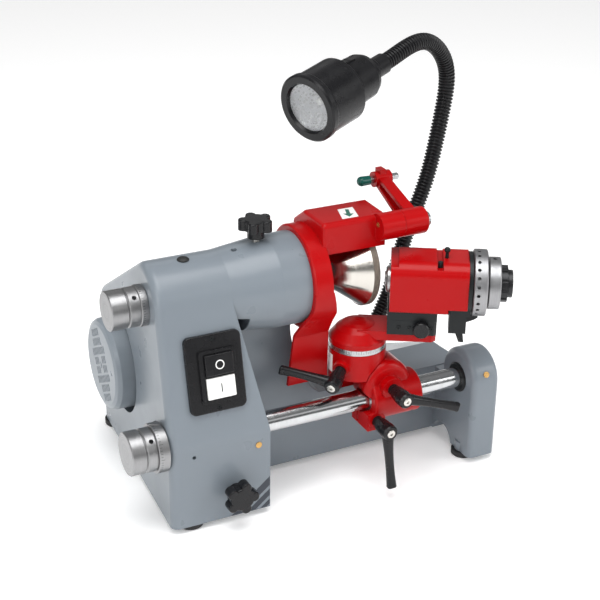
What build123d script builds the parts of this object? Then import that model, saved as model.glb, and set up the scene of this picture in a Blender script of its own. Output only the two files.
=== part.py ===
from build123d import *
import os
from math import asin, atan2, cos, hypot, pi, radians, sin, tan

# Bench tool and drill grinder with a cup wheel, an indexing work head on a guide bar and a work lamp.
# Millimetres. Origin on the bench, midway between the four foot holes; +X along the wheel spindle
# towards the cup wheel, -Y towards the operator, +Z up.

os.makedirs("parts", exist_ok=True)

# ---- driving dimensions -------------------------------------------------------------------------
casting_half_length = 215.0
front_y = -145.0
rear_y = 142.0
foot_height = 8.0
foot_radius = 15.0
foot_spacing_x = 372.0
foot_spacing_y = 256.0
bench_bolt_radius = 4.5
wall = 8.0

bar_y, bar_z, bar_radius = -118.0, 107.0, 12.5      # guide bar
spindle_y, spindle_z = -60.0, 258.0                 # wheel spindle
motor_y, motor_z, motor_radius = 49.0, 133.0, 57.0
swivel_x, swivel_y = 45.0, -96.0                    # vertical axis of the work head's swivel
work_angle = 30.0                                   # work head turned towards the operator, degrees

column_right_x = -92.0
pillar_x, pillar_thickness = 177.0, 38.0
pillar_right_x = pillar_x + pillar_thickness
nose_x = -25.0                                      # end of the painted spindle nose
running = 0.05                                      # radial clearance of a running fit

lamp_x, lamp_y, lamp_pad_z = 105.0, -18.0, 97.0     # where the lamp's neck stands on the deck
top_knob_x = -72.0
front_knob_x, front_knob_z = -138.0, 45.0
stud_radius = 4.0
plug_place = (-163.0, -64.0)
cable_place = (-120.0, 60.0)                        # x and z of the cable gland in the rear wall


# ---- helpers ------------------------------------------------------------------------------------
def along_x(x, y, z):
    """Plane whose sketch x axis runs along +X through (x, y, z), with sketch y upwards."""
    return Plane(origin=(x, y, z), x_dir=(1, 0, 0), z_dir=(0, -1, 0))


def turned(line, outline, mode=Mode.ADD):
    """Revolve an outline of (distance, radius) points about the sketch x axis of a plane."""
    with BuildSketch(line) as section:
        with BuildLine():
            Polyline(*outline, close=True)
        make_face()
    revolve(section.sketch, axis=Axis(line.origin, line.x_dir), mode=mode)


def round_bar(plane, radius, length, bore=0.0, mode=Mode.ADD):
    """Extrude a disc or a ring from a plane."""
    with BuildSketch(plane) as section:
        Circle(radius)
        if bore:
            Circle(bore, mode=Mode.SUBTRACT)
    extrude(section.sketch, amount=length, mode=mode)


def block(x, y, z, mode=Mode.ADD):
    """Box between two limits on each axis."""
    with Locations(((x[0] + x[1]) / 2, (y[0] + y[1]) / 2, (z[0] + z[1]) / 2)):
        Box(x[1] - x[0], y[1] - y[0], z[1] - z[0], mode=mode)


def save(builder, name):
    builder.part.label = name
    export_step(builder.part, f"parts/{name}.step")


spindle_line = along_x(0, spindle_y, spindle_z)
bar_line = along_x(0, bar_y, bar_z)
motor_line = along_x(0, motor_y, motor_z)

# ---- bed casting --------------------------------------------------------------------------------
barrel_radius = 48.0
nose_radius = 55.0
spigot_radius = 50.0
spigot_end_x = -8.0
quill_radius = 35.0
quill_bore_left_x = -104.0
lean_start_z = 112.0
roof_angle = 31.0
side_taper = 18.0                                   # the left wall comes in by this much at the rear
column_rear_left_x = -casting_half_length + side_taper

to_barrel = hypot(spindle_y - front_y, spindle_z - lean_start_z)
lean = atan2(spindle_y - front_y, spindle_z - lean_start_z) - asin(barrel_radius / to_barrel)
lean_length = (to_barrel**2 - barrel_radius**2) ** 0.5
lean_top = (front_y + lean_length * sin(lean), lean_start_z + lean_length * cos(lean))
roof_y = spindle_y + barrel_radius * sin(radians(roof_angle))
roof_z = spindle_z + barrel_radius * cos(radians(roof_angle))
roof_rear_z = roof_z - (rear_y - roof_y) * tan(radians(roof_angle))

wall_y = -66.0                                      # front of the wall behind the guide bar
deck_z, deck_rear_z, deck_break_y, deck_end_z = 98.0, 92.0, 4.0, 24.0
neck_depth = 52.0
pillar_radius = 37.0
foot_places = (foot_spacing_x / 2, foot_spacing_y / 2)

lean_normal = (0, -cos(lean), sin(lean))
switch_slope = 82.0                                 # up the leaning front to the switch's centre
switch_x = -153.0
switch_face = Plane(origin=(switch_x, front_y + switch_slope * sin(lean),
                            lean_start_z + switch_slope * cos(lean)),
                    x_dir=(1, 0, 0), z_dir=lean_normal)
pillar_oiler = radians(24)
oiler_planes = (Plane(origin=(-107, front_y, 96), z_dir=(0, -1, 0)),
                Plane(origin=(pillar_x + pillar_thickness / 2,
                              bar_y - pillar_radius * cos(pillar_oiler),
                              bar_z + pillar_radius * sin(pillar_oiler)),
                      z_dir=(0, -cos(pillar_oiler), sin(pillar_oiler))))

with BuildSketch(Plane.YZ) as column_profile:
    with BuildLine():
        Polyline((front_y, foot_height), (front_y, lean_start_z), lean_top)
        ThreePointArc(lean_top, (spindle_y, spindle_z + barrel_radius), (roof_y, roof_z))
        Polyline((roof_y, roof_z), (rear_y, roof_rear_z), (rear_y, foot_height))
        Line((rear_y, foot_height), (front_y, foot_height))
    make_face()
    fillet(column_profile.vertices().sort_by_distance((rear_y, roof_rear_z, 0))[0], 35)
    fillet(column_profile.vertices().sort_by_distance((front_y, lean_start_z, 0))[0], 40)

# inner skin that closes the cavity behind the leaning right side
lean_end_x, skin_low_z = column_right_x - 29, 140.0
skin_low_x = column_right_x - 29 * (skin_low_z - lean_start_z) / (spindle_z - lean_start_z)
with BuildPart() as leaning_skin:
    extrude(column_profile.sketch.moved(Location((lean_end_x - wall, 0, 0))), amount=wall + 29)
    with BuildSketch(Plane.XZ.offset(-front_y + 1)):
        with BuildLine():
            Polyline((skin_low_x, skin_low_z), (lean_end_x, spindle_z), (lean_end_x, spindle_z + 60),
                     (lean_end_x - wall, spindle_z + 60), (lean_end_x - wall, spindle_z),
                     (skin_low_x - wall, skin_low_z), close=True)
        make_face()
    extrude(amount=front_y - 1 - (spindle_y - 28), mode=Mode.INTERSECT)

with BuildPart() as bed_casting:
    # left column: side profile limited by a tapered plan
    extrude(column_profile.sketch.moved(Location((-casting_half_length, 0, 0))),
            amount=column_right_x + casting_half_length)
    with BuildSketch(Plane.XY):
        with BuildLine():
            Polyline((-casting_half_length, front_y), (column_rear_left_x, rear_y),
                     (column_right_x, rear_y), (column_right_x, front_y), close=True)
        make_face()
    extrude(amount=spindle_z + 100, mode=Mode.INTERSECT)
    fillet(bed_casting.faces().sort_by(Axis.X)[0].edges().filter_by_position(Axis.Z, 20, 400), 9)
    # the right side of the column leans away above the guide bar
    with BuildSketch(Plane.XZ.offset(-front_y + 10)):
        with BuildLine():
            Polyline((column_right_x, lean_start_z), (lean_end_x, spindle_z),
                     (lean_end_x, spindle_z + 70), (column_right_x + 5, spindle_z + 70),
                     (column_right_x + 5, lean_start_z), close=True)
        make_face()
    extrude(amount=front_y - 10 - spindle_y, mode=Mode.SUBTRACT)
    # wall, deck and sloping rear roof between the column and the right end
    with BuildSketch(Plane.YZ.offset(column_right_x - wall)):
        with BuildLine():
            Polyline((wall_y, foot_height), (wall_y, deck_z), (deck_break_y, deck_rear_z),
                     (rear_y, deck_end_z), (rear_y, foot_height), close=True)
        make_face()
    extrude(amount=pillar_right_x - column_right_x + wall)
    # right pillar, rounded about the guide bar
    with BuildSketch(Plane.YZ.offset(pillar_x)):
        with BuildLine():
            left_side = bar_y - pillar_radius
            right_side = bar_y + pillar_radius
            Polyline((left_side, bar_z), (left_side, foot_height), (wall_y + 5, foot_height),
                     (wall_y + 5, deck_z - 1), (right_side, deck_z - 1), (right_side, bar_z))
            ThreePointArc((left_side, bar_z), (bar_y, bar_z + pillar_radius), (right_side, bar_z))
        make_face()
    extrude(amount=pillar_thickness)
    pillar_rim = (bed_casting.edges().filter_by_position(Axis.Y, front_y - 12, right_side)
                  .filter_by_position(Axis.Z, foot_height + 5, bar_z + pillar_radius + 1))
    fillet(pillar_rim.filter_by_position(Axis.X, pillar_x - 0.1, pillar_x + 0.1), 7)
    fillet(pillar_rim.filter_by_position(Axis.X, pillar_right_x - 0.1, pillar_right_x + 0.1), 7)
    # neck that carries the barrel above the wall
    with BuildSketch(Plane.XZ.offset(-wall_y)):
        with BuildLine():
            Polyline((22, deck_z - 5), (column_right_x - 5, deck_z - 5),
                     (column_right_x - 5, spindle_z), (-30, spindle_z), (-30, 200))
            Spline((-30, 200), (-12, 132), (22, deck_z - 5), tangents=((0, -1), (1, -0.25)))
        make_face()
    extrude(amount=-neck_depth)
    # barrel, widening to the spindle nose
    turned(spindle_line, [(column_rear_left_x + 40, 0), (column_rear_left_x + 40, barrel_radius - 4),
                          (-150, barrel_radius), (-121, barrel_radius), (-60, nose_radius),
                          (nose_x, nose_radius), (nose_x, spigot_radius),
                          (spigot_end_x, spigot_radius), (spigot_end_x, 0)])

    # cavities, open at the bottom
    with BuildSketch(Plane.YZ.offset(column_rear_left_x + wall)):
        add(column_profile.sketch_local)
        offset(amount=-wall)
    extrude(amount=column_right_x - column_rear_left_x - 2 * wall, mode=Mode.SUBTRACT)
    block((column_rear_left_x + wall, column_right_x - wall), (front_y + wall, rear_y - wall),
          (0, 60), Mode.SUBTRACT)
    add(leaning_skin.part)
    # saddle for the motor, standing off the rear wall
    block((-192, -160), (motor_y + motor_radius - 12, rear_y - wall + 1), (motor_z - 24, motor_z + 24))
    round_bar(Plane(origin=(-200, motor_y, motor_z), z_dir=(1, 0, 0)), motor_radius, 60,
              mode=Mode.SUBTRACT)
    with BuildSketch(Plane.YZ.offset(column_right_x)):
        with BuildLine():
            Polyline((wall_y + wall, 0), (wall_y + wall, deck_z - wall),
                     (deck_break_y, deck_rear_z - wall), (rear_y - wall, deck_end_z - wall),
                     (rear_y - wall, 0), close=True)
        make_face()
    extrude(amount=pillar_right_x - wall - column_right_x, mode=Mode.SUBTRACT)

    # barrel bore, open to the belt space at the left
    turned(spindle_line, [(quill_bore_left_x - 6, 0), (quill_bore_left_x - 6, barrel_radius - 9),
                          (quill_bore_left_x, barrel_radius - 9),
                          (quill_bore_left_x, quill_radius + running),
                          (0, quill_radius + running), (0, 0)], Mode.SUBTRACT)
    # dial bores in the left wall
    round_bar(Plane(origin=(-casting_half_length - 5, spindle_y, spindle_z), z_dir=(1, 0, 0)),
              12, 40, mode=Mode.SUBTRACT)
    round_bar(Plane(origin=(-casting_half_length - 5, bar_y, bar_z), z_dir=(1, 0, 0)),
              12, 40, mode=Mode.SUBTRACT)
    # round opening for the motor's end bell
    round_bar(Plane(origin=(-casting_half_length - 5, motor_y, motor_z), z_dir=(1, 0, 0)),
              64, 45, mode=Mode.SUBTRACT)
    # guide bar bores
    round_bar(Plane(origin=(column_right_x - wall - 5, bar_y, bar_z), z_dir=(1, 0, 0)),
              16, wall + 10, mode=Mode.SUBTRACT)
    round_bar(Plane(origin=(pillar_x - 1, bar_y, bar_z), z_dir=(1, 0, 0)), 19, 34,
              mode=Mode.SUBTRACT)
    # foot bosses with bench bolt holes
    for side_x in (-1, 1):
        for side_y in (-1, 1):
            centre = (side_x * foot_places[0], side_y * foot_places[1])
            round_bar(Plane(origin=(*centre, foot_height)), 11, 12)
            round_bar(Plane(origin=(*centre, foot_height - 1)), bench_bolt_radius, 12,
                      mode=Mode.SUBTRACT)
    # arch under the pillar's left flank
    round_bar(Plane(origin=(pillar_x - 1, wall_y - 24, foot_height - 4), z_dir=(1, 0, 0)), 22, 20,
              mode=Mode.SUBTRACT)
    # flat pad under the lamp
    round_bar(Plane(origin=(lamp_x, lamp_y, deck_rear_z - wall)), 17, lamp_pad_z - deck_rear_z + wall)
    round_bar(Plane(origin=(lamp_x, lamp_y, 60)), 5, 60, mode=Mode.SUBTRACT)
    # switch opening in the leaning front
    with BuildSketch(switch_face.offset(-30)):
        with Locations((2, -3)):
            Rectangle(46, 62)
    extrude(amount=60, mode=Mode.SUBTRACT)
    # star knob stud holes, plug, oil holes
    round_bar(Plane(origin=(top_knob_x, spindle_y, spindle_z + 30)), stud_radius + 0.1, 40,
              mode=Mode.SUBTRACT)
    round_bar(Plane(origin=(front_knob_x, front_y - 5, front_knob_z), z_dir=(0, 1, 0)),
              stud_radius + 0.1, 30, mode=Mode.SUBTRACT)
    round_bar(Plane(origin=(*plug_place, spindle_z + 30)), 5, 30, mode=Mode.SUBTRACT)
    round_bar(Plane(origin=(-102, -66, spindle_z + 44)), 3.5, 20, mode=Mode.SUBTRACT)
    round_bar(Plane(origin=(-186.5, front_y - 1, 99), z_dir=(0, 1, 0)), 2.2, 9, mode=Mode.SUBTRACT)
    for place in oiler_planes:
        round_bar(place.offset(-5), 3.05, 8, mode=Mode.SUBTRACT)
    # cable hole in the rear wall
    round_bar(Plane(origin=(cable_place[0], rear_y - wall - 2, cable_place[1]), z_dir=(0, 1, 0)),
              8, wall + 4, mode=Mode.SUBTRACT)
save(bed_casting, "bed_casting")

# ---- feet and covers ----------------------------------------------------------------------------
with BuildPart() as rubber_feet:
    with Locations(*[(sx * foot_spacing_x / 2, sy * foot_spacing_y / 2, 0)
                     for sx in (-1, 1) for sy in (-1, 1)]):
        Cylinder(foot_radius, foot_height, align=(Align.CENTER, Align.CENTER, Align.MIN))
        Cylinder(bench_bolt_radius, foot_height, align=(Align.CENTER, Align.CENTER, Align.MIN),
                 mode=Mode.SUBTRACT)
    chamfer(rubber_feet.edges().filter_by(GeomType.CIRCLE).group_by(Axis.Z)[0]
            .filter_by(lambda edge: edge.radius > bench_bolt_radius + 1), 1.5)
save(rubber_feet, "rubber_feet")

with BuildPart() as bottom_cover:
    block((-170, -102), (front_y + wall + 1, rear_y - wall - 1), (foot_height + 0.1, foot_height + 1.6))
    with Locations(*[(x, y, foot_height + 1) for x in (-160, -112) for y in (-100, 0, 100)]):
        Box(4, 50, 6, mode=Mode.SUBTRACT)
save(bottom_cover, "bottom_cover")

# ---- wheel spindle, quill and feed --------------------------------------------------------------
bearing_outer, bearing_width = 23.5, 14.0
journal_radius = 10.0
quill_left_x, quill_right_x = -98.0, -12.0
pulley_x = -118.0
spindle_pulley_radius, motor_pulley_radius = 20.0, 37.0
belt_angle = atan2(motor_z - spindle_z, motor_y - spindle_y)
rod_radius, rod_offset = 4.0, 29.0
rod_places = [(rod_offset * cos(belt_angle + side * pi / 2), rod_offset * sin(belt_angle + side * pi / 2))
              for side in (-1, 1)]
feed_screw_radius = 5.0

with BuildPart() as quill:
    turned(spindle_line, [(quill_left_x, bearing_outer), (quill_left_x, quill_radius),
                          (quill_right_x, quill_radius), (quill_right_x, bearing_outer),
                          (quill_right_x - bearing_width, bearing_outer),
                          (quill_right_x - bearing_width, 20), (quill_left_x + bearing_width, 20),
                          (quill_left_x + bearing_width, bearing_outer)])
    with Locations(*[Plane(origin=(quill_left_x, spindle_y + y, spindle_z + z), z_dir=(1, 0, 0))
                     for y, z in rod_places]):
        Cylinder(rod_radius, 10, align=(Align.CENTER, Align.CENTER, Align.MIN), mode=Mode.SUBTRACT)
save(quill, "quill")

with BuildPart() as spindle_bearings:
    for x in (quill_left_x, quill_right_x - bearing_width):
        turned(spindle_line, [(x, journal_radius + 0.03), (x, bearing_outer),
                              (x + bearing_width, bearing_outer),
                              (x + bearing_width, journal_radius + 0.03)])
save(spindle_bearings, "spindle_bearings")

with BuildPart() as feed_yoke:
    crosshead = Plane(origin=(-158, spindle_y, spindle_z), z_dir=(1, 0, 0),
                      x_dir=(0, cos(belt_angle + pi / 2), sin(belt_angle + pi / 2)))
    with BuildSketch(crosshead):
        SlotOverall(2 * rod_offset + 16, 20)
        Circle(feed_screw_radius + running, mode=Mode.SUBTRACT)
    extrude(amount=8)
    with Locations(*[Plane(origin=(-152, spindle_y + y, spindle_z + z), z_dir=(1, 0, 0))
                     for y, z in rod_places]):
        Cylinder(rod_radius, quill_left_x + 10 + 152, align=(Align.CENTER, Align.CENTER, Align.MIN))
save(feed_yoke, "feed_yoke")

cone_x, wheel_face_x, rim_x, rim_end_x = 16.0, 38.0, 58.0, 66.0
wheel_radius = 50.0
with BuildPart() as wheel_spindle:
    turned(spindle_line, [(-132, 0), (-132, 9), (-104, 9), (-104, journal_radius),
                          (-10, journal_radius), (-8, 14), (10, 14), (10, 17), (cone_x, 17),
                          (cone_x, journal_radius), (54, journal_radius), (55, 9), (55, 0)])
save(wheel_spindle, "wheel_spindle")

with BuildPart() as spindle_pulley:
    turned(spindle_line, [(-130, 9), (-130, 24), (-127, 24), (-127, spindle_pulley_radius),
                          (-109, spindle_pulley_radius), (-109, 24), (-106, 24), (-106, 9)])
save(spindle_pulley, "spindle_pulley")

with BuildPart() as wheel_body:
    turned(spindle_line, [(cone_x, journal_radius + 0.02), (cone_x, 17.5), (cone_x + 1, 18.5),
                          (rim_x, 49), (rim_x, 43), (wheel_face_x, 26),
                          (wheel_face_x, journal_radius + 0.02)])
save(wheel_body, "wheel_body")

with BuildPart() as abrasive_rim:
    turned(spindle_line, [(rim_x, 43), (rim_x, wheel_radius), (rim_end_x - 1, wheel_radius),
                          (rim_end_x, wheel_radius - 1), (rim_end_x, 43)])
save(abrasive_rim, "abrasive_rim")

with BuildPart() as wheel_nut:
    with BuildSketch(Plane(origin=(wheel_face_x, spindle_y, spindle_z), z_dir=(1, 0, 0))):
        RegularPolygon(15, 6)
        Circle(journal_radius + 0.02, mode=Mode.SUBTRACT)
    extrude(amount=11)
save(wheel_nut, "wheel_nut")

# ---- motor and belt -----------------------------------------------------------------------------
motor_left_x, motor_right_x = -228.0, -154.0
vent_rows = (5, 6, 9, 8, 8, 9, 6, 5)
vent_turn = -28.0
motor_cover_x = motor_left_x + 2                     # inner face of the pressed end cover
with BuildPart() as motor_shell:
    turned(motor_line, [(motor_left_x, 0), (motor_left_x, motor_radius - 7),
                        (motor_left_x + 2, motor_radius - 2.5), (motor_left_x + 7, motor_radius),
                        (motor_right_x, motor_radius), (motor_right_x, 18.02),
                        (motor_right_x - 6, 18.02), (motor_right_x - 6, motor_radius - 4),
                        (motor_left_x + 8, motor_radius - 4), (motor_cover_x, motor_radius - 8),
                        (motor_cover_x, 0)])
    vent_plane = Plane(origin=(motor_left_x - 1, motor_y, motor_z), z_dir=(1, 0, 0),
                       x_dir=(0, cos(radians(vent_turn)), sin(radians(vent_turn))))
    with BuildSketch(vent_plane):
        for row, count in enumerate(vent_rows):
            for step in range(count):
                if row in (3, 4) and step in (3, 4):
                    continue
                with Locations(((step - (count - 1) / 2) * 5.6, (row - 3.5) * 11.5)):
                    SlotOverall(9.5, 2.8, rotation=90)
        Rectangle(3, 8)
    extrude(amount=8, mode=Mode.SUBTRACT)
save(motor_shell, "motor_shell")

with BuildPart() as motor_stator:
    turned(motor_line, [(-208, 33), (-208, 53), (-164, 53), (-164, 33)])
    for x in (motor_cover_x, motor_right_x - 6):
        turned(motor_line, [(x, 8.03), (x, 18), (x + 12, 18), (x + 12, 8.03)])
save(motor_stator, "motor_stator")

with BuildPart() as motor_rotor:
    turned(motor_line, [(-221, 0), (-221, 8), (-206, 8), (-206, 32.4), (-166, 32.4), (-166, 8),
                        (-104, 8), (-104, 0)])
    # belt pulley with two flanges
    turned(motor_line, [(-130, 7.5), (-130, 41), (-127, 41), (-127, motor_pulley_radius),
                        (-109, motor_pulley_radius), (-109, 41), (-106, 41), (-106, 7.5)])
save(motor_rotor, "motor_rotor")

with BuildPart() as drive_belt:
    belt_gap, belt_thickness, belt_width = 0.08, 3.0, 10.0
    with BuildSketch(Plane.YZ.offset(pulley_x - belt_width / 2)) as belt_section:
        with Locations((spindle_y, spindle_z)):
            Circle(spindle_pulley_radius + belt_gap)
        with Locations((motor_y, motor_z)):
            Circle(motor_pulley_radius + belt_gap)
        make_hull()
    extrude(offset(belt_section.sketch, amount=belt_thickness), amount=belt_width)
    extrude(belt_section.sketch, amount=belt_width, mode=Mode.SUBTRACT)
save(drive_belt, "drive_belt")

# ---- graduated feed dials -----------------------------------------------------------------------
def feed_dial(name, line, left, collar, seat, grip_radius, screw_end):
    """Dial turned with its grip, set-screw collar and feed screw in one."""
    with BuildPart() as dial:
        turned(line, [(left, 0), (left, grip_radius - 1), (left + 1, grip_radius),
                      (collar - 1.5, grip_radius), (collar, grip_radius - 1.5),
                      (collar + 1.5, grip_radius), (seat - 0.3, grip_radius),
                      (seat - 0.3, feed_screw_radius), (screw_end, feed_screw_radius), (screw_end, 0)])
        set_screw = Plane(origin=((collar + seat) / 2 + 1, line.origin.Y, line.origin.Z),
                          z_dir=(0, -sin(radians(40)), cos(radians(40))))
        round_bar(set_screw.offset(feed_screw_radius + 6), 2.6, grip_radius, mode=Mode.SUBTRACT)
    save(dial, f"{name}_dial")

upper_seat_x = -casting_half_length + side_taper * (spindle_y - front_y) / (rear_y - front_y)
lower_seat_x = -casting_half_length + side_taper * (bar_y - front_y) / (rear_y - front_y)
upper_left_x, lower_left_x = -220.0, -228.0          # where each dial meets its fixed seat
feed_dial("upper", spindle_line, -254.0, -233.5, upper_left_x, 23.0, -140.0)
feed_dial("lower", bar_line, -258.0, -240.5, lower_left_x, 25.5, -138.0)

with BuildPart() as dial_seats:
    for line, left, right, radius in ((spindle_line, upper_left_x, upper_seat_x - 1.6, 24.0),
                                      (bar_line, lower_left_x, lower_seat_x - 2.0, 29.0)):
        turned(line, [(left, feed_screw_radius + running), (left, radius - 0.8), (left + 0.8, radius),
                      (right, radius), (right, 11.95), (right + 14, 11.95),
                      (right + 14, feed_screw_radius + running)])
    # pointer above the lower dial
    with BuildSketch(Plane(origin=(lower_seat_x - 14, bar_y + 3, bar_z + 29.1), z_dir=(0, 0, 1))):
        with BuildLine():
            Polyline((-3, 0), (9, -5), (9, 5), close=True)
        make_face()
    extrude(amount=1.2)
save(dial_seats, "dial_seats")

# ---- guide bar and bushes -----------------------------------------------------------------------
bar_left_x, bar_right_x = -174.0, 206.0
with BuildPart() as guide_bar:
    turned(bar_line, [(bar_left_x, feed_screw_radius + running), (bar_left_x, bar_radius - 1),
                      (bar_left_x + 1, bar_radius), (bar_right_x - 1, bar_radius),
                      (bar_right_x, bar_radius - 1), (bar_right_x, 0), (-130, 0),
                      (-130, feed_screw_radius + running)])
save(guide_bar, "guide_bar")

with BuildPart() as bar_bushes:
    turned(bar_line, [(column_right_x - wall - 4, bar_radius + running),
                      (column_right_x - wall - 4, 18), (column_right_x - wall - 0.05, 18),
                      (column_right_x - wall - 0.05, 15.95), (column_right_x, 15.95),
                      (column_right_x, bar_radius + running)])
    turned(bar_line, [(pillar_x - 2, bar_radius + running), (pillar_x - 2, 17), (pillar_x - 1, 18.9),
                      (pillar_x + 31, 18.9), (pillar_x + 31, bar_radius + running)])
save(bar_bushes, "bar_bushes")

# ---- carriage on the guide bar ------------------------------------------------------------------
hub_left_x, hub_right_x = 47.0, 112.0
sleeve_radius, hub_radius = 15.0, 27.0
tilt_x, tilt_z, tilt_radius = 70.0, 126.5, 31.0     # horizontal tilt axis of the swivel base
tilt_front_y, tilt_rear_y = -133.0, -97.0
boss_front_y = -143.0
lower_clamp_x, lower_clamp_z = 50.0, 88.0

with BuildPart() as slide_sleeve:
    turned(bar_line, [(hub_left_x, bar_radius + running), (hub_left_x, sleeve_radius),
                      (hub_right_x, sleeve_radius), (hub_right_x, bar_radius + running)])
save(slide_sleeve, "slide_sleeve")


def facing(x, y, z, down=0.0):
    """Plane facing the operator, tipped down by an angle in degrees."""
    return Plane(origin=(x, y, z), x_dir=(1, 0, 0), z_dir=(0, -cos(radians(down)), -sin(radians(down))))


with BuildPart() as carriage:
    round_bar(Plane(origin=(hub_left_x, bar_y, bar_z), z_dir=(1, 0, 0)), hub_radius,
              hub_right_x - hub_left_x)
    fillet(carriage.edges().filter_by(GeomType.CIRCLE), 3)
    with BuildSketch(Plane.XZ.offset(-tilt_rear_y)):
        with Locations((tilt_x, tilt_z)):
            Circle(tilt_radius)
    extrude(amount=tilt_rear_y - tilt_front_y)
    fillet(carriage.edges().filter_by(GeomType.CIRCLE).group_by(Axis.Y)[0], 9)
    round_bar(facing(tilt_x, tilt_front_y + 3, tilt_z), 14, tilt_front_y + 3 - boss_front_y)
    # split lug under the bar, with the lower clamp boss in front
    block((39, 61), (-140, -100), (74, 96))
    round_bar(facing(lower_clamp_x, -138, lower_clamp_z), 11, -138 - boss_front_y)
    round_bar(Plane(origin=(0, bar_y, bar_z), z_dir=(1, 0, 0)), sleeve_radius + running, 140,
              mode=Mode.SUBTRACT)
    block((38, 62), (-114, -112), (70, 95), Mode.SUBTRACT)
    round_bar(facing(lower_clamp_x, -95, lower_clamp_z), 4.05, 60, mode=Mode.SUBTRACT)
    round_bar(facing(tilt_x, -90, tilt_z), 4.05, 60, mode=Mode.SUBTRACT)
save(carriage, "carriage")

# ---- swivel base, tilting on the carriage -------------------------------------------------------
base_top_z, base_bottom_z, base_radius = 171.0, 118.0, 34.5
scale_top_z, pivot_bottom_z = 178.0, 153.0
lever_out = Vector(-0.712, -0.669, -0.214).normalized()
lever_boss = 17.0
lever_seat = Vector(24, -106, 156) + lever_out * lever_boss  # where the swivel clamp lever stands
with BuildPart() as swivel_base:
    round_bar(Plane(origin=(swivel_x, swivel_y, base_bottom_z)), base_radius, base_top_z - base_bottom_z)
    fillet(swivel_base.edges().filter_by(GeomType.CIRCLE).group_by(Axis.Z)[0], 3)
    round_bar(Plane(origin=lever_seat, z_dir=lever_out), 10, -lever_boss)
    round_bar(Plane(origin=lever_seat, z_dir=lever_out), 11, 10, mode=Mode.SUBTRACT)
    round_bar(facing(tilt_x, tilt_rear_y + 0.4, tilt_z), tilt_radius + 0.4, 50, mode=Mode.SUBTRACT)
    block((44, 90), (-150, -89), (100, 141), Mode.SUBTRACT)
    block((0, 45), (-150, -100), (100, 137), Mode.SUBTRACT)
    round_bar(facing(tilt_x, -60, tilt_z), 4.0, 60, mode=Mode.SUBTRACT)
    round_bar(Plane(origin=(swivel_x, swivel_y, pivot_bottom_z)), 6.0, 30, mode=Mode.SUBTRACT)
save(swivel_base, "swivel_base")

with BuildPart() as pivot_bolts:
    round_bar(facing(tilt_x, -76, tilt_z), 4.0, -76 - boss_front_y - 2)
    round_bar(Plane(origin=(swivel_x, swivel_y, pivot_bottom_z)), 6.0, 188 - pivot_bottom_z)
save(pivot_bolts, "pivot_bolts")

with BuildPart() as angle_scale:
    round_bar(Plane(origin=(swivel_x, swivel_y, base_top_z)), 34, scale_top_z - base_top_z - 0.1, bore=22)
save(angle_scale, "angle_scale")

# ---- swivel arm and work head, turned towards the operator --------------------------------------
turn = radians(work_angle)
along = Vector(cos(turn), -sin(turn), 0)            # from the swivel towards the index rings
across = Vector(sin(turn), cos(turn), 0)            # away from the operator
head_frame = Plane(origin=(swivel_x, swivel_y, 0), x_dir=along, z_dir=(0, 0, 1))
work_line = Plane(origin=(swivel_x, swivel_y, spindle_z), x_dir=along, z_dir=-across)


def head_section(u, v=0.0, z=spindle_z):
    """Plane square to the work spindle at distance u from the swivel."""
    return Plane(origin=Vector(swivel_x, swivel_y, z) + along * u + across * v, x_dir=across, z_dir=along)


def head_front(u, v, z):
    """Plane facing the operator's side of the work head."""
    return Plane(origin=Vector(swivel_x, swivel_y, z) + along * u + across * v, x_dir=along, z_dir=-across)


slide_left, slide_right, slide_half = 34.0, 92.0, 28.0
arm_bottom_z, arm_top_z, slide_mid_z, slide_top_z = 188.0, 199.5, 218.0, 229.9
with BuildPart(head_frame) as swivel_arm:
    with BuildSketch(head_frame.offset(scale_top_z)):
        Circle(34.5)
    extrude(amount=6)
    with BuildSketch(head_frame.offset(arm_bottom_z)):
        with Locations((slide_right / 2, 0)):
            Rectangle(slide_right, 44)
    extrude(amount=arm_top_z - arm_bottom_z)
    turned(Plane(origin=(swivel_x, swivel_y, 0), x_dir=(0, 0, 1), z_dir=along),
           [(183, 0), (183, 34.5), (186, 33), (195, 26), (200, 19), (201.5, 12), (202, 0)])
    chamfer(swivel_arm.edges().filter_by(Axis.Z).sort_by(Axis((0, 0, 0), along))[-2:], 5)
    round_bar(Plane(origin=(swivel_x, swivel_y, base_top_z)), 6.05, 20.2, mode=Mode.SUBTRACT)
save(swivel_arm, "swivel_arm")

dovetail_z = slide_mid_z - 8
with BuildPart(head_frame) as lower_slide:
    block((slide_left + 0.3, slide_right), (-slide_half, slide_half), (arm_top_z, slide_mid_z))
    with BuildSketch(head_section(slide_left - 2, 0, 0)):
        with BuildLine():
            Polyline((-13.1, slide_mid_z + 1), (-13.1, slide_mid_z), (-17.1, dovetail_z),
                     (17.1, dovetail_z), (13.1, slide_mid_z), (13.1, slide_mid_z + 1), close=True)
        make_face()
    extrude(amount=slide_right - slide_left + 4, mode=Mode.SUBTRACT)
    chamfer(lower_slide.edges().filter_by(Axis.Z).sort_by(Axis((0, 0, 0), along))[-2:], 3)
save(lower_slide, "lower_slide")

with BuildPart(head_frame) as upper_slide:
    block((slide_left, slide_right), (-slide_half, slide_half), (slide_mid_z + 0.05, slide_top_z))
    with BuildSketch(head_section(slide_left + 14, 0, 0)):
        with BuildLine():
            Polyline((-13.05, slide_mid_z + 1), (-13.05, slide_mid_z), (-17, dovetail_z + 0.05),
                     (17, dovetail_z + 0.05), (13.05, slide_mid_z), (13.05, slide_mid_z + 1), close=True)
        make_face()
    extrude(amount=slide_right - slide_left - 14)
save(upper_slide, "upper_slide")

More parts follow.
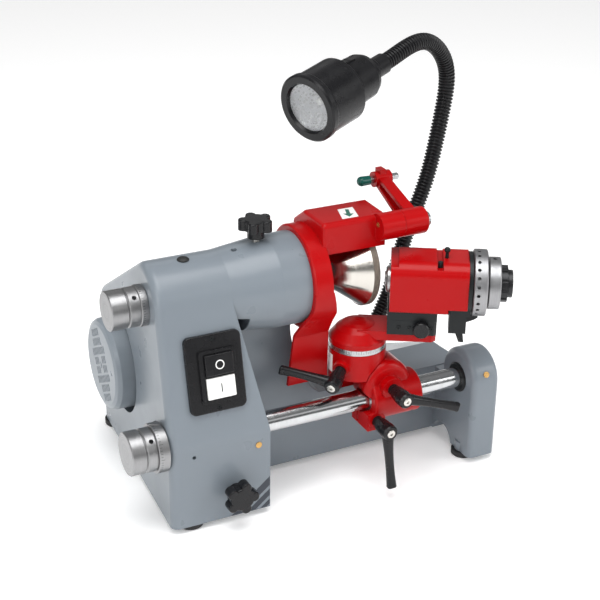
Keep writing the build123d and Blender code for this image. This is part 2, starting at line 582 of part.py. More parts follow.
block_left, block_right, block_half = 36.0, 126.0, 34.0
with BuildPart(head_frame) as work_head:
    with BuildSketch(head_section(block_left)) as head_outline:
        with Locations((0, 2)):
            Rectangle(2 * block_half, 60)
        fillet(head_outline.vertices().group_by(Axis.Y)[-1], 16)
        fillet(head_outline.vertices().group_by(Axis.Y)[0], 3)
    extrude(amount=block_right - block_left)
    block((104, 130), (-40, 40), (200, 236), Mode.SUBTRACT)
    block((89, 96), (-40, 40), (284, 300), Mode.SUBTRACT)
    block((30, 45), (-40, 40), (286, 300), Mode.SUBTRACT)
    round_bar(head_section(20), 20 + running, 120, mode=Mode.SUBTRACT)
save(work_head, "work_head")

with BuildPart() as head_clamp_pin:
    round_bar(Plane(origin=Vector(swivel_x, swivel_y, 284.1) + along * 92.5 + across * -20), 2.8, 7)
    round_bar(Plane(origin=Vector(swivel_x, swivel_y, 290.1) + along * 100 + across * -6), 2.0, 8)
    with Locations(Vector(swivel_x, swivel_y, 300) + along * 100 + across * -6):
        Sphere(3.6)
save(head_clamp_pin, "head_clamp_pins")

with BuildPart() as work_spindle:
    turned(work_line, [(31, 9.5), (31, 14), (33, 16), (35.9, 16), (35.9, 20), (149, 20), (149, 15),
                       (163, 15), (163, 9.5)])
save(work_spindle, "work_spindle")

collet_bore = 6.0
with BuildPart() as collet:
    turned(work_line, [(29.5, collet_bore), (29.5, 8.4), (30.5, 9.4), (76, 9.4), (76, collet_bore)])
    for quarter in range(3):
        with BuildSketch(head_section(29)):
            with Locations((0, 0)):
                with PolarLocations(7.7, 1, start_angle=90 + 120 * quarter):
                    Rectangle(6, 0.8)
        extrude(amount=30, mode=Mode.SUBTRACT)
save(collet, "collet")

hole_count, hole_u = 24, 137.0
with BuildPart() as index_ring:
    turned(work_line, [(131.5, 20), (131.5, 38.2), (132.5, 39.2), (146.5, 39.2), (147.5, 38.2),
                       (147.5, 20)])
    for hole in range(hole_count):
        angle = 2 * pi * hole / hole_count
        outward = across * cos(angle) + Vector(0, 0, sin(angle))
        round_bar(Plane(origin=work_line.origin + along * hole_u + outward * 31, z_dir=outward), 2.0, 10,
                  mode=Mode.SUBTRACT)
save(index_ring, "index_ring")

with BuildPart() as stop_ring:
    turned(work_line, [(149.4, 15), (149.4, 29.9), (150.2, 30.7), (162.2, 30.7), (163, 29.9), (163, 15)])
    round_bar(Plane(origin=Vector(swivel_x, swivel_y, spindle_z + 22) + along * 156), 2.5, 10,
              mode=Mode.SUBTRACT)
save(stop_ring, "stop_ring")

with BuildPart() as draw_bar:
    turned(work_line, [(76.3, 6.5), (76.3, 9.4), (163.4, 9.4), (163.4, 21.7), (171.5, 21.7),
                       (171.5, 15), (172.5, 15), (172.5, 16.3), (177.5, 16.3), (177.5, 6.5)])
    with BuildSketch(head_section(163)):
        with PolarLocations(21.7, 12):
            Circle(2.2)
    extrude(amount=8.6, mode=Mode.SUBTRACT)
save(draw_bar, "draw_bar")

lever_u, lever_z = 116.0, 209.0
with BuildPart(head_frame) as index_bracket:
    turned(work_line, [(block_right + 0.05, 20.3), (block_right + 0.05, 36), (130.6, 36), (130.6, 20.3)])
    block((106, 126), (-24, -4.2), (202, 235.9))
    block((106, 130.6), (-24, -4.2), (224, 234))
    round_bar(head_section(slide_right + 0.05, -14, 224), 2.5, 15)
    round_bar(head_front(lever_u, 5, lever_z), 3.0, 9.2)
save(index_bracket, "index_bracket")

with BuildPart(head_frame) as index_lever:
    round_bar(head_front(lever_u, 3.5, lever_z), 8.5, 7, bore=3.05)
    with BuildSketch(head_front(lever_u, 2.2, lever_z)):
        with BuildLine():
            Polyline((5, -5), (20, 1), (24.5, 4), (24.5, 8), (4, 7), close=True)
        make_face()
        with BuildLine():
            Polyline((-5, -6), (4, -29), (10, -29), (6.5, -5), close=True)
        make_face()
        Circle(7, mode=Mode.SUBTRACT)
    extrude(amount=4.4)
    round_bar(Plane(origin=work_line.origin + along * hole_u + Vector(0, 0, lever_z + 7 - spindle_z)),
              0.9, 4.4)
save(index_lever, "index_lever")

with BuildPart() as slide_knob:
    round_bar(head_front(74, -slide_half - 0.1, 209), 9.6, 9)
    chamfer(slide_knob.edges().filter_by(GeomType.CIRCLE), 1)
save(slide_knob, "slide_knob")

# ---- clamp levers -------------------------------------------------------------------------------
lever_reach, lever_hub = 72.0, 34.0


def clamp_lever(name, seat, outward, arm, reach_end=lever_reach):
    """Ratchet clamp lever: tapered hub standing outward from its seat, with a rising arm."""
    outward = Vector(*outward).normalized()
    arm = Vector(*arm).normalized()
    base = Plane(origin=Vector(*seat), x_dir=arm, z_dir=outward)
    with BuildPart(base) as lever:
        hub_line = Plane(origin=base.origin, x_dir=outward, z_dir=base.y_dir)
        turned(hub_line, [(0.1, 0), (0.1, 7), (8, 7), (8.5, 8.5), (lever_hub - 10, 10),
                          (lever_hub - 2, 9.5), (lever_hub, 8), (lever_hub, 0)])
        for reach, height, width, depth in ((2, lever_hub - 9, 15, 14), (34, lever_hub - 3.5, 10.5, 9),
                                            (reach_end, lever_hub + 4.5, 12.5, 9)):
            with BuildSketch(Plane(origin=base.origin + arm * reach + outward * height,
                                   x_dir=base.y_dir, z_dir=arm)) as section:
                RectangleRounded(width, depth, min(width, depth) / 2.4)
        loft()
        fillet(lever.faces().sort_by(Axis(base.origin, arm))[-1].edges(), 2)
        round_bar(base.offset(lever_hub - 3), 5.2, 10, mode=Mode.SUBTRACT)
        round_bar(base.offset(lever_hub - 3), 5.1, 2.5)
    save(lever, name)


clamp_lever("tilt_lever", (tilt_x, boss_front_y, tilt_z), (0, -1, 0), (0.96, 0, -0.29))
clamp_lever("bar_lever", (lower_clamp_x, boss_front_y, lower_clamp_z), (0, -1, 0), (0.02, 0, -1))
swivel_lever_arm = Vector(-0.702, 0.657, 0.278)
swivel_lever_arm -= lever_out * swivel_lever_arm.dot(lever_out)
clamp_lever("swivel_lever", lever_seat, lever_out, swivel_lever_arm, 64)  # passes in front of the skirt


# ---- star knobs ---------------------------------------------------------------------------------
def star_knob(name, seat, stud_depth, stand):
    """Five-lobed knob on its stud; the seat plane faces out of the casting."""
    with BuildPart(seat) as knob:
        round_bar(seat.offset(stand), 10, 12)
        with BuildSketch(seat.offset(stand + 10)):
            Circle(14.5)
            with PolarLocations(14.2, 5, start_angle=90):
                Circle(6.2)
        extrude(amount=13)
        fillet(knob.faces().sort_by(Axis(seat.origin, seat.z_dir))[-1].edges(), 2)
        round_bar(seat.offset(-stud_depth), stud_radius, stud_depth + stand + 1)
    save(knob, name)


star_knob("top_star_knob", Plane(origin=(top_knob_x, spindle_y, spindle_z + 52)), 15, 6)
star_knob("front_star_knob", Plane(origin=(front_knob_x, front_y, front_knob_z), z_dir=(0, -1, 0)), 26, 4)

# ---- wheel guard and dresser --------------------------------------------------------------------
hood_left_x, hood_right_x = -6.0, 75.0
hood_front_y, hood_rear_y = spindle_y - 40, spindle_y + 40
hood_bottom_z, hood_top_z = 296.0, 334.0
guard_wall, hood_corner = 4.0, 6.0
ring_radius = 62.0
dresser_y, dresser_z, boss_radius = -103.0, 321.0, 16.0
boss_left_x, boss_right_x = 62.0, 92.0
skirt_bottom_z, skirt_right_x = 133.0, 6.5

with BuildPart() as wheel_guard:
    # hood over the wheel, open below and towards the work
    for x, inset, mode in ((hood_left_x, 0, Mode.ADD),
                           (hood_left_x + guard_wall, guard_wall, Mode.SUBTRACT)):
        with BuildSketch(Plane.YZ.offset(x)) as hood_section:
            with BuildLine():
                Polyline((hood_front_y + inset, hood_bottom_z - inset),
                         (hood_front_y + inset, hood_top_z - inset),
                         (hood_rear_y - 28, hood_top_z - inset),
                         (hood_rear_y - inset, hood_top_z - 20 - inset / 2),
                         (hood_rear_y - inset, hood_bottom_z - inset), close=True)
            make_face()
            fillet(hood_section.vertices().filter_by_position(Axis.Y, hood_bottom_z + 5, 400),
                   hood_corner - inset)
        extrude(amount=hood_right_x - x + inset, mode=mode)
        if mode is Mode.ADD:
            fillet(wheel_guard.faces().sort_by(Axis.X)[0].edges()
                   .filter_by_position(Axis.Z, hood_bottom_z + 1, 400), 4)
    # ring that clamps on the spindle nose
    turned(spindle_line, [(nose_x + 0.05, spigot_radius + running), (nose_x + 0.05, ring_radius - 2),
                          (nose_x + 2, ring_radius), (hood_left_x + 4, ring_radius),
                          (hood_left_x + 4, 46), (spigot_end_x + 2, 46),
                          (spigot_end_x + 2, spigot_radius + running)])
    # skirt in front of the neck
    with BuildSketch(Plane.YZ.offset(nose_x - 22)):
        with BuildLine():
            drop = CenterArc((spindle_y, spindle_z), ring_radius - 2, 180, 36)
            curve = TangentArc(drop @ 1, (-93, 196), tangent=drop % 1)
            Line(curve @ 1, (-92, skirt_bottom_z))
        trace(line_width=guard_wall)
    extrude(amount=skirt_right_x - nose_x + 22)
    with BuildSketch(Plane.XZ):
        with BuildLine():
            Polyline((nose_x - 21, skirt_bottom_z - 1), (nose_x - 13, 200), (nose_x, 236), (nose_x, 400),
                     (hood_right_x + 60, 400), (hood_right_x + 60, 290), (-2, 262),
                     (skirt_right_x, 228), (skirt_right_x, skirt_bottom_z - 1), close=True)
        make_face()
    extrude(amount=200, mode=Mode.INTERSECT)
    block((spigot_end_x + 2, hood_left_x + 8), (-93, -74), (skirt_bottom_z + 20, 214))
    round_bar(Plane(origin=(boss_left_x, dresser_y, dresser_z), z_dir=(1, 0, 0)), boss_radius,
              boss_right_x - boss_left_x)
    round_bar(Plane(origin=(boss_left_x + 1.9, dresser_y, dresser_z), z_dir=(1, 0, 0)), 6.0, 60,
              mode=Mode.SUBTRACT)
save(wheel_guard, "wheel_guard")

dresser_head_y, dresser_head_z = -26.0, 348.0
hub_gap = 0.2
hub_end_x = 124.0
arm_left_x, arm_right_x = 101.0, 115.0
arm_length = hypot(dresser_head_y - dresser_y, dresser_head_z - dresser_z)
with BuildPart() as dresser_arm:
    round_bar(Plane(origin=(boss_right_x + hub_gap, dresser_y, dresser_z), z_dir=(1, 0, 0)), boss_radius,
              hub_end_x - boss_right_x - hub_gap)
    fillet(dresser_arm.edges().filter_by(GeomType.CIRCLE).group_by(Axis.X)[-1], 3)
    arm_plane = Plane(origin=(arm_left_x, dresser_y, dresser_z), z_dir=(1, 0, 0),
                      x_dir=(0, dresser_head_y - dresser_y, dresser_head_z - dresser_z))
    with BuildSketch(arm_plane):
        with BuildLine():
            Polyline((8, -11), (8, 11), (arm_length, 6.5), (arm_length, -6.5), close=True)
        make_face()
    extrude(amount=arm_right_x - arm_left_x)
    for side, outward in ((0, 1), (1, -1)):
        with BuildSketch(arm_plane.offset(side * (arm_right_x - arm_left_x))):
            with BuildLine():
                Polyline((18, -6), (18, 6), (arm_length - 13, 3.2), (arm_length - 13, -3.2), close=True)
            make_face()
        extrude(amount=outward * 4.5, mode=Mode.SUBTRACT)
    round_bar(Plane(origin=(98, dresser_head_y, dresser_head_z), z_dir=(1, 0, 0)), 9.5, 22)
    with Locations((108, dresser_head_y, dresser_head_z + 10)):
        Box(8, 12, 6)
    round_bar(Plane(origin=(90, dresser_head_y, dresser_head_z), z_dir=(1, 0, 0)), 4.05, 40,
              mode=Mode.SUBTRACT)
    round_bar(Plane(origin=(80, dresser_y, dresser_z), z_dir=(1, 0, 0)), 6.05, 60, mode=Mode.SUBTRACT)
save(dresser_arm, "dresser_arm")

with BuildPart() as dresser_pivot:
    turned(along_x(0, dresser_y, dresser_z),
           [(boss_left_x + 2, 0), (boss_left_x + 2, 6), (hub_end_x + 0.3, 6), (hub_end_x + 0.3, 9),
            (hub_end_x + 5, 9), (hub_end_x + 6, 8), (hub_end_x + 6, 0)])
save(dresser_pivot, "dresser_pivot")

cap_left_x, cap_right_x = 76.5, 93.0
pin_line = along_x(0, dresser_head_y, dresser_head_z)
with BuildPart() as dresser_pin:
    turned(pin_line, [(cap_left_x + 3, 0), (cap_left_x + 6, 2.2), (cap_left_x + 6, 4), (131, 4),
                      (132, 3), (132, 0)])
save(dresser_pin, "dresser_pin")

with BuildPart() as dresser_cap:
    turned(pin_line, [(cap_left_x, 0), (cap_left_x + 0.7, 3), (cap_left_x + 2.6, 5.2), (cap_left_x + 5, 6),
                      (cap_right_x, 5.6), (cap_right_x, 4.02), (cap_left_x + 5.95, 4.02),
                      (cap_left_x + 5.95, 2.5), (cap_left_x + 2.9, 0)])
save(dresser_cap, "dresser_cap")

# ---- switch -------------------------------------------------------------------------------------
button_offset_x = 3.5
button_size = (34.0, 24.5)
button_rows = (("stop_button", 10.6), ("start_button", -16.4))
with BuildPart(switch_face) as switch_housing:
    with BuildSketch(switch_face.offset(0.1)):
        RectangleRounded(68, 90, 7)
    extrude(amount=5)
    fillet(switch_housing.faces().sort_by(Axis(switch_face.origin, switch_face.z_dir))[-1].edges(), 1.5)
    with BuildSketch(switch_face.offset(5)):
        with Locations((button_offset_x - 1, -3)):
            RectangleRounded(44, 60, 3)
    extrude(amount=3)
    with BuildSketch(switch_face.offset(0.1)):
        with Locations((2, -3)):
            Rectangle(42, 58)
    extrude(amount=-42)
    for name, v in button_rows:
        with BuildSketch(switch_face.offset(-10)):
            with Locations((button_offset_x, v)):
                RectangleRounded(button_size[0] + 0.5, button_size[1] + 0.5, 1.2)
        extrude(amount=30, mode=Mode.SUBTRACT)
    for v in (-39.5, 39.5):
        round_bar(Plane(origin=switch_face.from_local_coords((0, v, 3.5)), z_dir=switch_face.z_dir), 3, 5,
                  mode=Mode.SUBTRACT)
save(switch_housing, "switch_housing")

for name, v in button_rows:
    with BuildPart(switch_face) as button:
        with BuildSketch(switch_face.offset(-5)):
            with Locations((button_offset_x, v)):
                RectangleRounded(*button_size, 1)
        extrude(amount=5 + (11.5 if name == "stop_button" else 10.5))
        fillet(button.faces().sort_by(Axis(switch_face.origin, switch_face.z_dir))[-1].edges(), 1.5)
    save(button, name)

# ---- work lamp ----------------------------------------------------------------------------------
lamp_lens = Vector(-9.0, -64.0, 462.0)               # centre of the lamp's glass
lamp_axis = Vector(130.5, 52.7, 26.4).normalized()
lamp_length = 132.0
lamp_back = lamp_lens + lamp_axis * lamp_length      # where the head meets the neck
neck_radius = 9.5
neck_base_z = lamp_pad_z + 16.0
ball_radius, ball_place = 8.0, lamp_lens + lamp_axis * (lamp_length - 8)
seat_radius = ball_radius + 0.05
neck_gap = 3.0                                       # lets the head tilt on its ball
lamp_line = Plane(origin=lamp_lens, x_dir=lamp_axis, z_dir=Vector(0, 0, 1).cross(lamp_axis))

with BuildPart() as lamp_socket:
    turned(Plane(origin=(lamp_x, lamp_y, lamp_pad_z), x_dir=(0, 0, 1), z_dir=(0, 1, 0)),
           [(-22, 4.0), (-22, 4.9), (0.05, 4.9), (0.05, 15), (10, 15), (13, 12.5),
            (neck_base_z - lamp_pad_z, 12.5), (neck_base_z - lamp_pad_z, 4.0)])
save(lamp_socket, "lamp_socket")

neck_points = [Vector(lamp_x, lamp_y, neck_base_z + 0.05), Vector(134.8, -6.0, 172.2),
               Vector(167.8, 7.4, 251.2), Vector(201.6, 21.0, 315.5), Vector(214.5, 26.2, 353.2),
               Vector(226.5, 31.0, 402.3), Vector(229.5, 32.2, 452.1), Vector(187.0, 15.0, 497.0),
               lamp_back + lamp_axis * neck_gap]
with BuildPart() as lamp_neck:
    with BuildLine() as neck_line:
        Spline(*neck_points, tangents=(Vector(0, 0, 1), lamp_axis * -1))
    with BuildSketch(Plane(origin=neck_line.line @ 0, z_dir=neck_line.line % 0)):
        Circle(neck_radius)
    sweep()
    round_bar(Plane(origin=ball_place, z_dir=lamp_axis), 3.5, 8 + neck_gap + 1)
    with Locations(ball_place):
        Sphere(ball_radius)
save(lamp_neck, "lamp_neck")

rocker_place = lamp_lens + lamp_axis * 70
rocker_face = Plane(origin=rocker_place, x_dir=lamp_axis, z_dir=lamp_axis.cross(lamp_line.z_dir))
rocker_height, rocker_length, rocker_width = 27.5, 18.0, 9.0
with BuildPart() as lamp_head:
    turned(lamp_line, [(6, 34), (6, 38), (53, 38), (55, 36.5), (55, 29), (57, 28), (92, 27), (99, 24),
                       (103, 20), (103, 14), (112, 14), (114, 12.5), (lamp_length, 12.5),
                       (lamp_length, 0), (100, 0), (94, 22), (57, 24), (51, 34)])
    # ball seat: a bore with a lip that holds the ball in
    round_bar(Plane(origin=ball_place - lamp_axis * seat_radius, z_dir=lamp_axis), seat_radius,
              seat_radius + 5.2, mode=Mode.SUBTRACT)
    round_bar(Plane(origin=ball_place, z_dir=lamp_axis), 6.2, 10, mode=Mode.SUBTRACT)
    # opening for the rocker switch
    with BuildSketch(rocker_face.offset(20)):
        Rectangle(rocker_length + 2, rocker_width + 0.2)
    extrude(amount=12, mode=Mode.SUBTRACT)
save(lamp_head, "lamp_head")

with BuildPart() as lamp_bezel:
    turned(lamp_line, [(-4, 30), (-4, 38), (-2, 40), (4, 40), (5.9, 39), (5.9, 34), (0, 34), (0, 28)])
save(lamp_bezel, "lamp_bezel")

with BuildPart() as lamp_glass:
    turned(lamp_line, [(0.1, 0), (0.1, 33.9), (3, 33.9), (3, 0)])
save(lamp_glass, "lamp_glass")

with BuildPart() as lamp_reflector:
    turned(lamp_line, [(3.1, 31), (3.1, 33), (48, 15), (48, 0), (46, 0), (46, 13)])
save(lamp_reflector, "lamp_reflector")

with BuildPart() as lamp_rocker:
    with BuildSketch(Plane(origin=rocker_place + lamp_line.z_dir * rocker_width / 2, x_dir=lamp_axis,
                           z_dir=lamp_line.z_dir * -1)):
        with Locations((0, rocker_height)):
            Circle(2.6)
            with Locations(Rotation(0, 0, -8)):
                Rectangle(rocker_length, 4)
    extrude(amount=rocker_width)
save(lamp_rocker, "lamp_rocker")

# ---- brass oilers and mains cord ----------------------------------------------------------------
with BuildPart() as ball_oilers:
    for place in oiler_planes:
        round_bar(place.offset(-4), 3.0, 4)
        round_bar(place.offset(0), 3.8, 1)
save(ball_oilers, "ball_oilers")

with BuildPart() as mains_cord:
    cord_line = Plane(origin=(cable_place[0], rear_y - wall, cable_place[1]), x_dir=(0, 1, 0),
                      z_dir=(1, 0, 0))
    turned(cord_line, [(0, 0), (0, 7.9), (wall + 0.05, 7.9), (wall + 0.05, 10), (wall + 8, 9),
                       (wall + 22, 5), (wall + 22, 3.6), (wall + 40, 3.6), (wall + 40, 0)])
save(mains_cord, "mains_cord")
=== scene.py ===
from math import asin, atan2, cos, hypot, pi, radians, sin

import bmesh
import bpy
import numpy as np
from mathutils import Matrix, Vector


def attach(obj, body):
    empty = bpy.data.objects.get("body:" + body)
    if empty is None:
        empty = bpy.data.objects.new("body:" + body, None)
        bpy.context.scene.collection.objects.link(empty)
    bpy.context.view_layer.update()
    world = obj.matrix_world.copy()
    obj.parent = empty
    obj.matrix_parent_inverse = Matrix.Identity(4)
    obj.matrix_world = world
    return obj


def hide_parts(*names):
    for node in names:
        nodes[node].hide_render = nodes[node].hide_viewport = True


# Looks and small details for the bench tool and drill grinder. Lengths are written in millimetres in the
# part's own frame and turned into metres when a mesh is made. Lights and camera are placed in metres.

MM = 0.001
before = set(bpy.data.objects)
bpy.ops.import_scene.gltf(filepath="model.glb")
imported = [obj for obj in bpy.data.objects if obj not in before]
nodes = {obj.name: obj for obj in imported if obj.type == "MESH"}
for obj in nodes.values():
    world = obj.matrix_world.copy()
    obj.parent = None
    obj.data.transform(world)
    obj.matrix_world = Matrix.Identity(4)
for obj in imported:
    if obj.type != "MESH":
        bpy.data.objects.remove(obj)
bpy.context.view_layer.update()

# ---- places shared with the machine -------------------------------------------------------------
spindle_y, spindle_z = -60.0, 258.0
bar_y, bar_z = -118.0, 107.0
upper_dial_x, lower_dial_x = -220.0, -228.0      # where each dial's graduated edge starts
upper_dial_radius, lower_dial_radius = 24.0, 29.0
motor_y, motor_z = 49.0, 133.0
motor_shade_disc_x, motor_shade_disc_radius = -225.8, 44.0  # just behind the motor's pressed end cover: a dark disc that paints the shade seen through its vents
swivel_x, swivel_y = 45.0, -96.0
swivel_top_z, swivel_radius = 171.0, 34.0
index_ring_u, index_ring_radius = 131.5, 39.2
front_y = -145.0                                 # front face of the column
column_foot_z = 8.6                              # lower edge of the column's front face
switch_x, switch_rise = -153.0, 82.0
button_x = 3.5                                   # the buttons sit this far right of the switch's middle
hood_top_z = 334.0
front_lever_y, lever_screw_height = -143.0, 33.4
swivel_lever_boss = 17.0
work_turn = radians(30)
along = Vector((cos(work_turn), -sin(work_turn), 0))
across = Vector((sin(work_turn), cos(work_turn), 0))
UP = Vector((0, 0, 1))
# the column's face leans back from lean_start_z until it touches the round spindle nose
lean_start_z, nose_radius = 112.0, 48.0
lean = (atan2(spindle_y - front_y, spindle_z - lean_start_z)
        - asin(nose_radius / hypot(spindle_y - front_y, spindle_z - lean_start_z)))
lamp_lens = Vector((-9.0, -64.0, 462.0))
lamp_axis = Vector((130.5, 52.7, 26.4)).normalized()
lamp_length = 132.0
lamp_back = lamp_lens + lamp_axis * lamp_length
neck_ball_radius = 8.0


def placed(origin, x, z):
    """Matrix of a local frame from its origin, its x direction and its z direction."""
    z = Vector(z).normalized()
    x = (Vector(x) - z * Vector(x).dot(z)).normalized()
    y = z.cross(x)
    rows = [(x[i], y[i], z[i], origin[i]) for i in range(3)]
    return Matrix((*rows, (0, 0, 0, 1)))


def on_head(u, v, z, facing):
    """Local frame on the work head, its z along the given direction and its x along the head."""
    return placed(Vector((swivel_x, swivel_y, z)) + along * u + across * v, along, facing)


# ---- materials ----------------------------------------------------------------------------------
class Look:
    """A procedural material grown round one principled shader."""

    def __init__(self, name, colour, roughness, metallic=0.0, coat=0.0, shine=0.5):
        self.material = bpy.data.materials.new(name)
        self.material.use_nodes = True
        self.tree = self.material.node_tree
        self.shader = self.tree.nodes["Principled BSDF"]
        self.shader.inputs["Base Color"].default_value = (*colour, 1)
        self.shader.inputs["Roughness"].default_value = roughness
        self.shader.inputs["Metallic"].default_value = metallic
        self.shader.inputs["Coat Weight"].default_value = coat
        self.shader.inputs["Coat Roughness"].default_value = 0.06
        self.shader.inputs["Specular IOR Level"].default_value = shine
        self.colour = colour
        self.roughness = roughness
        self.place = self.add("ShaderNodeTexCoord").outputs["Object"]
        self.normal = None

    def add(self, kind, **inputs):
        node = self.tree.nodes.new(kind)
        for name, value in inputs.items():
            node.inputs[name.replace("_", " ")].default_value = value
        return node

    def join(self, source, node, name):
        self.tree.links.new(source, node.inputs[name])
        return node

    def noise(self, scale, detail=3.0, place=None):
        node = self.add("ShaderNodeTexNoise", Scale=scale, Detail=detail)
        self.join(place or self.place, node, "Vector")
        return node.outputs["Fac"]

    def spread(self, factor, low, high):
        """Map a noise value near the middle onto the range from low to high."""
        node = self.add("ShaderNodeMapRange", From_Min=0.3, From_Max=0.7, To_Min=low, To_Max=high)
        self.join(factor, node, "Value")
        return node.outputs["Result"]

    def mottle(self, factor, other, amount):
        """Blend the base colour towards another colour."""
        node = self.add("ShaderNodeMix")
        node.data_type = "RGBA"
        colours = [socket for socket in node.inputs if socket.type == "RGBA"]
        current = self.shader.inputs["Base Color"]
        if current.is_linked:
            self.tree.links.new(current.links[0].from_socket, colours[0])
        else:
            colours[0].default_value = (*self.colour, 1)
        colours[1].default_value = (*other, 1)
        self.tree.links.new(self.spread(factor, 0.0, amount), node.inputs[0])
        result = [socket for socket in node.outputs if socket.type == "RGBA"][0]
        self.tree.links.new(result, current)

    def wear(self, factor, amount):
        """Vary the roughness on both sides of its base value."""
        low, high = self.roughness - amount, self.roughness + amount
        self.tree.links.new(self.spread(factor, max(low, 0.02), high), self.shader.inputs["Roughness"])

    def bump(self, factor, strength, distance):
        node = self.add("ShaderNodeBump", Strength=strength, Distance=distance)
        self.join(factor, node, "Height")
        if self.normal:
            self.join(self.normal, node, "Normal")
        self.normal = node.outputs["Normal"]
        self.tree.links.new(self.normal, self.shader.inputs["Normal"])

    def soft_edges(self, radius):
        node = self.add("ShaderNodeBevel", Radius=radius)
        node.samples = 4
        self.normal = node.outputs["Normal"]
        self.tree.links.new(self.normal, self.shader.inputs["Normal"])

    def math(self, operation, first, second=None):
        node = self.tree.nodes.new("ShaderNodeVectorMath")
        node.operation = operation
        for slot, value in enumerate((first, second)):
            if value is None:
                continue
            if isinstance(value, bpy.types.NodeSocket):
                self.tree.links.new(value, node.inputs[slot])
            else:
                node.inputs[slot].default_value = value
        wanted = "Value" if operation in ("DOT_PRODUCT", "LENGTH") else "Vector"
        return node.outputs[wanted]

    def lathe(self, origin, axis, fineness):
        """Noise drawn out into rings round an axis, as a turning tool leaves them."""
        arm = self.math("SUBTRACT", self.place, tuple(c * MM for c in origin))
        distance = self.math("DOT_PRODUCT", arm, tuple(axis))
        radius = self.math("LENGTH", self.math("CROSS_PRODUCT", arm, tuple(axis)))
        rings = self.add("ShaderNodeCombineXYZ")
        self.join(distance, rings, "X")
        self.join(radius, rings, "Y")
        return self.noise(fineness, 2.0, rings.outputs["Vector"])


def enamel(name, colour, chip, shine=0.4):
    """Gloss paint over a casting: orange peel, slow colour drift and uneven gloss."""
    look = Look(name, colour, 0.30, coat=0.05, shine=shine)
    look.soft_edges(0.0012)
    look.mottle(look.noise(9.0), tuple(c * 0.9 for c in colour), 0.3)
    look.mottle(look.noise(70.0, 6.0), chip, 0.03)
    look.wear(look.noise(35.0, 5.0), 0.03)
    look.bump(look.noise(420.0, 2.0), 0.05, 0.0004)
    look.bump(look.noise(26.0, 1.0), 0.02, 0.0010)
    return look.material


def moulded(name, colour, roughness, grain=1500.0, shine=0.5):
    """Moulded plastic or rubber with a fine grain."""
    look = Look(name, colour, roughness, shine=shine)
    look.soft_edges(0.0006)
    look.mottle(look.noise(30.0, 5.0), tuple(c * 1.4 + 0.002 for c in colour), 0.3)
    look.wear(look.noise(60.0, 4.0), 0.07)
    look.bump(look.noise(grain, 2.0), 0.16, 0.0003)
    return look.material


def machined(name, colour, roughness, origin, axis, fineness=1300.0, depth=0.25, metallic=1.0):
    """Metal turned on a lathe about the given line."""
    look = Look(name, colour, roughness, metallic=metallic)
    look.soft_edges(0.0005)
    rings = look.lathe(origin, axis, fineness)
    look.mottle(look.noise(55.0, 6.0), tuple(c * 0.78 for c in colour), 0.45)
    look.mottle(rings, tuple(c * 0.8 for c in colour), 0.4)
    look.wear(rings, 0.09)
    look.bump(rings, depth, 0.0004)
    return look.material


def ground(name, colour, roughness, metallic=1.0, shine=0.5):
    """Flat-ground or blackened metal with fine scratches one way."""
    look = Look(name, colour, roughness, metallic=metallic, shine=shine)
    look.soft_edges(0.0005)
    streaks = look.noise(40.0, 4.0, look.math("MULTIPLY", look.place, (1.0, 30.0, 30.0)))
    look.mottle(look.noise(45.0, 6.0), tuple(c * 0.7 for c in colour), 0.5)
    look.wear(streaks, 0.08)
    look.bump(streaks, 0.12, 0.0003)
    return look.material


x_axis = (1.0, 0.0, 0.0)
spindle_origin = (0.0, spindle_y, spindle_z)
bar_origin = (0.0, bar_y, bar_z)
motor_origin = (0.0, motor_y, motor_z)
work_origin = (swivel_x, swivel_y, spindle_z)

grey_paint = enamel("casting_paint", (0.170, 0.196, 0.222), (0.25, 0.28, 0.31))
red_paint = enamel("red_paint", (0.36, 0.001, 0.002), (0.26, 0.001, 0.002), 0.15)
motor_paint = enamel("grey_enamel", (0.185, 0.212, 0.238), (0.26, 0.29, 0.32))
black_plastic = moulded("black_plastic", (0.006, 0.006, 0.007), 0.27, shine=0.3)
lamp_plastic = moulded("lamp_plastic", (0.006, 0.006, 0.007), 0.30, 2200.0, shine=0.3)
rubber = moulded("rubber", (0.009, 0.009, 0.009), 0.6)
green_plastic = moulded("green_plastic", (0.0, 0.075, 0.058), 0.22)
white_plastic = moulded("white_plastic", (0.78, 0.78, 0.76), 0.3)
upper_aluminium = machined("upper_aluminium", (0.34, 0.34, 0.345), 0.38, spindle_origin, x_axis, 900.0)
lower_aluminium = machined("lower_aluminium", (0.34, 0.34, 0.345), 0.38, bar_origin, x_axis, 900.0)
head_aluminium = machined("head_aluminium", (0.36, 0.36, 0.37), 0.42, work_origin, along, 1100.0)
head_steel = machined("head_steel", (0.50, 0.50, 0.50), 0.30, work_origin, along)
head_black = machined("head_black", (0.030, 0.030, 0.032), 0.34, work_origin, along, 1100.0, metallic=0.6)
spindle_steel = machined("spindle_steel", (0.55, 0.55, 0.54), 0.22, spindle_origin, x_axis)
cone_steel = machined("cone_steel", (0.66, 0.63, 0.58), 0.16, spindle_origin, x_axis, 1600.0, 0.10)
bar_chrome = machined("bar_chrome", (0.60, 0.61, 0.62), 0.17, bar_origin, x_axis, 1500.0, 0.005)
motor_steel = machined("motor_iron", (0.20, 0.20, 0.21), 0.42, motor_origin, x_axis)
ground_steel = ground("ground_steel", (0.52, 0.53, 0.54), 0.28)
black_steel = ground("black_steel", (0.012, 0.014, 0.015), 0.36, metallic=0.15, shine=0.25)
brass = ground("brass", (0.60, 0.36, 0.13), 0.30)


def abrasive_look():
    """Bonded grit: light and dark grains in a brown-grey matrix."""
    look = Look("abrasive", (0.16, 0.13, 0.10), 0.85)
    grains = look.add("ShaderNodeTexVoronoi", Scale=1400.0)
    look.join(look.place, grains, "Vector")
    look.mottle(grains.outputs["Distance"], (0.40, 0.36, 0.30), 0.6)
    look.mottle(look.noise(400.0, 5.0), (0.05, 0.045, 0.04), 0.5)
    look.wear(look.noise(200.0), 0.1)
    look.bump(grains.outputs["Distance"], 0.5, 0.0005)
    return look.material


